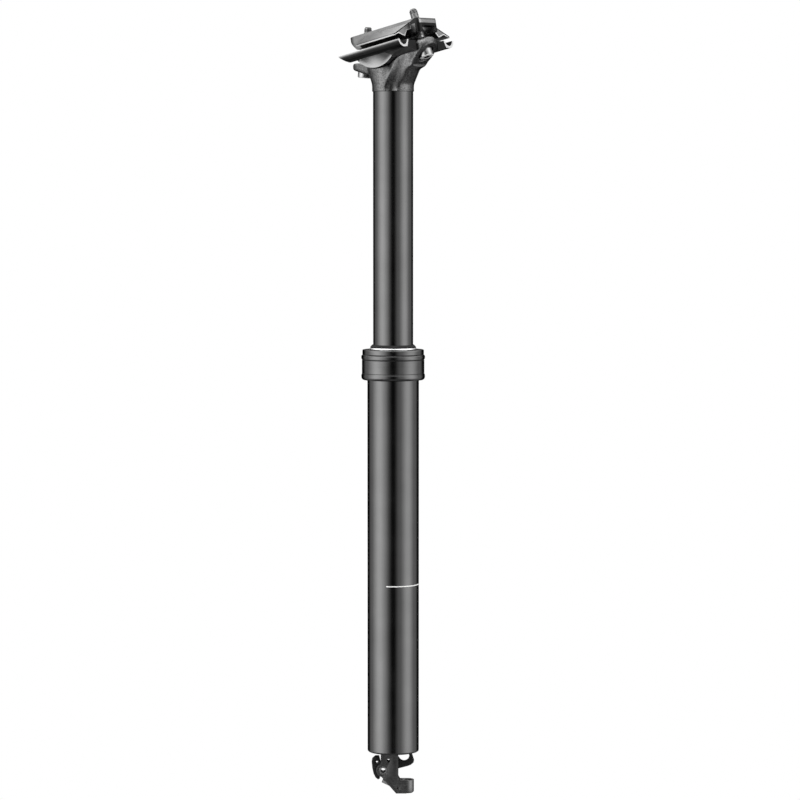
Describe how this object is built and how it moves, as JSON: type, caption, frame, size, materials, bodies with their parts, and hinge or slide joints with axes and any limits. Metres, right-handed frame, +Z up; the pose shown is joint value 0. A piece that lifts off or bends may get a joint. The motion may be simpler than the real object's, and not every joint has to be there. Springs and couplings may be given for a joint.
{
  "type": "dropper seatpost",
  "caption": "Dropper seatpost for a bicycle, fully extended, with a two-bolt rocker saddle clamp and a cable release lever at its lower end.",
  "frame": {"origin": "on the post's axis at the seal collar's lower face, where the seat tube's top edge meets it", "axes": "+Z up the post towards the saddle, bicycle's front towards -X, rider's left towards -Y"},
  "size_m": [0.0613, 0.055, 0.4819],
  "materials": {
    "anodised_tube": "satin black anodised",
    "blasted_forging": "matt sandblasted, black anodised",
    "machined_black": "machined, semi-matt black anodised",
    "bare_aluminium": "turned, bare",
    "dark_anodised": "hard anodised grey",
    "bolt_steel": "plain dark steel",
    "rod_steel": "ground and hard chromed",
    "spring_steel": "drawn wire",
    "rubber": "matt black",
    "felt": "oiled felt",
    "bushing_polymer": "self-lubricating, dull",
    "key_brass": "drawn, bare"
  },
  "bodies": {
    "outer_post": {"outer_tube": "anodised_tube", "seal_collar": "machined_black", "collar_o_ring": "rubber", "wiper_ring": "bare_aluminium", "wiper_seal": "rubber", "oil_ring": "felt", "upper_bushing": "bushing_polymer", "top_out_bumper": "rubber", "end_cap": "bare_aluminium", "bottom_out_bumper": "rubber", "piston_rod": "rod_steel", "piston": "bare_aluminium", "piston_seal": "rubber", "valve_spring": "spring_steel", "actuator_bracket": "machined_black", "lever_pivot_pin": "bolt_steel", "bracket_set_screw": "bare_aluminium"},
    "sliding_post": {"inner_post": "anodised_tube", "post_head": "blasted_forging", "lower_bushing": "bushing_polymer", "guide_keys": "key_brass", "gas_cylinder": "dark_anodised", "cylinder_gland": "bare_aluminium", "rod_seal": "rubber"},
    "release_lever": {"actuator_lever": "machined_black", "lever_link_pin": "bolt_steel"},
    "release_needle": {"release_pin": "rod_steel"},
    "saddle_clamp": {"lower_cradle": "machined_black", "upper_clamp": "machined_black"},
    "front_clamp_bolt": {"front_bolt": "bolt_steel", "front_washer": "bolt_steel"},
    "rear_clamp_bolt": {"rear_bolt": "bolt_steel", "rear_washer": "bolt_steel"},
    "front_nut": {"front_barrel_nut": "bolt_steel"},
    "rear_nut": {"rear_barrel_nut": "bolt_steel"}
  },
  "joints": [
    {"name": "post_slide", "type": "slide", "parent": "outer_post", "child": "sliding_post", "axis": [0, 0, 1], "range_m": [-0.15, 0], "stiffness_N_per_m": 467, "springref_m": 0.321},
    {"name": "lever_pivot", "type": "hinge", "parent": "outer_post", "child": "release_lever", "pos_m": [-0.00485, -0.00386, -0.2413], "axis": [-0.6225, 0.7826, 0], "range_deg": [0, 14]},
    {"name": "needle_slide", "type": "slide", "parent": "outer_post", "child": "release_needle", "axis": [0, 0, 1], "range_m": [-0.0015, 0], "stiffness_N_per_m": 2000, "springref_m": 0.003, "deforming": ["valve_spring"]},
    {"name": "clamp_tilt", "type": "hinge", "parent": "sliding_post", "child": "saddle_clamp", "pos_m": [-0.0045, 0, 0.209], "axis": [0, 1, 0], "range_deg": [-6, 5]},
    {"name": "front_bolt_rock", "type": "hinge", "parent": "sliding_post", "child": "front_clamp_bolt", "pos_m": [-0.02242, 0, 0.18522], "axis": [0, 1, 0], "range_deg": [-1.1, 1.3]},
    {"name": "rear_bolt_rock", "type": "hinge", "parent": "sliding_post", "child": "rear_clamp_bolt", "pos_m": [0.02606, 0, 0.19709], "axis": [0, 1, 0], "range_deg": [-0.9, 1.1]},
    {"name": "front_nut_turn", "type": "hinge", "parent": "saddle_clamp", "child": "front_nut", "pos_m": [-0.02039, 0, 0.20634], "axis": [0, 1, 0], "range_deg": [-6.1, 7.3]},
    {"name": "rear_nut_turn", "type": "hinge", "parent": "saddle_clamp", "child": "rear_nut", "pos_m": [0.01934, 0, 0.21478], "axis": [0, 1, 0], "range_deg": [-5.9, 7]}
  ],
  "couplings": [
    {"joint": "lever_pivot", "follows": "needle_slide", "rad_per_m": -161.29},
    {"joint": "front_bolt_rock", "follows": "clamp_tilt", "ratio": -0.19665},
    {"joint": "rear_bolt_rock", "follows": "clamp_tilt", "ratio": -0.16163},
    {"joint": "front_nut_turn", "follows": "clamp_tilt", "ratio": -1.1966},
    {"joint": "rear_nut_turn", "follows": "clamp_tilt", "ratio": -1.1616}
  ]
}
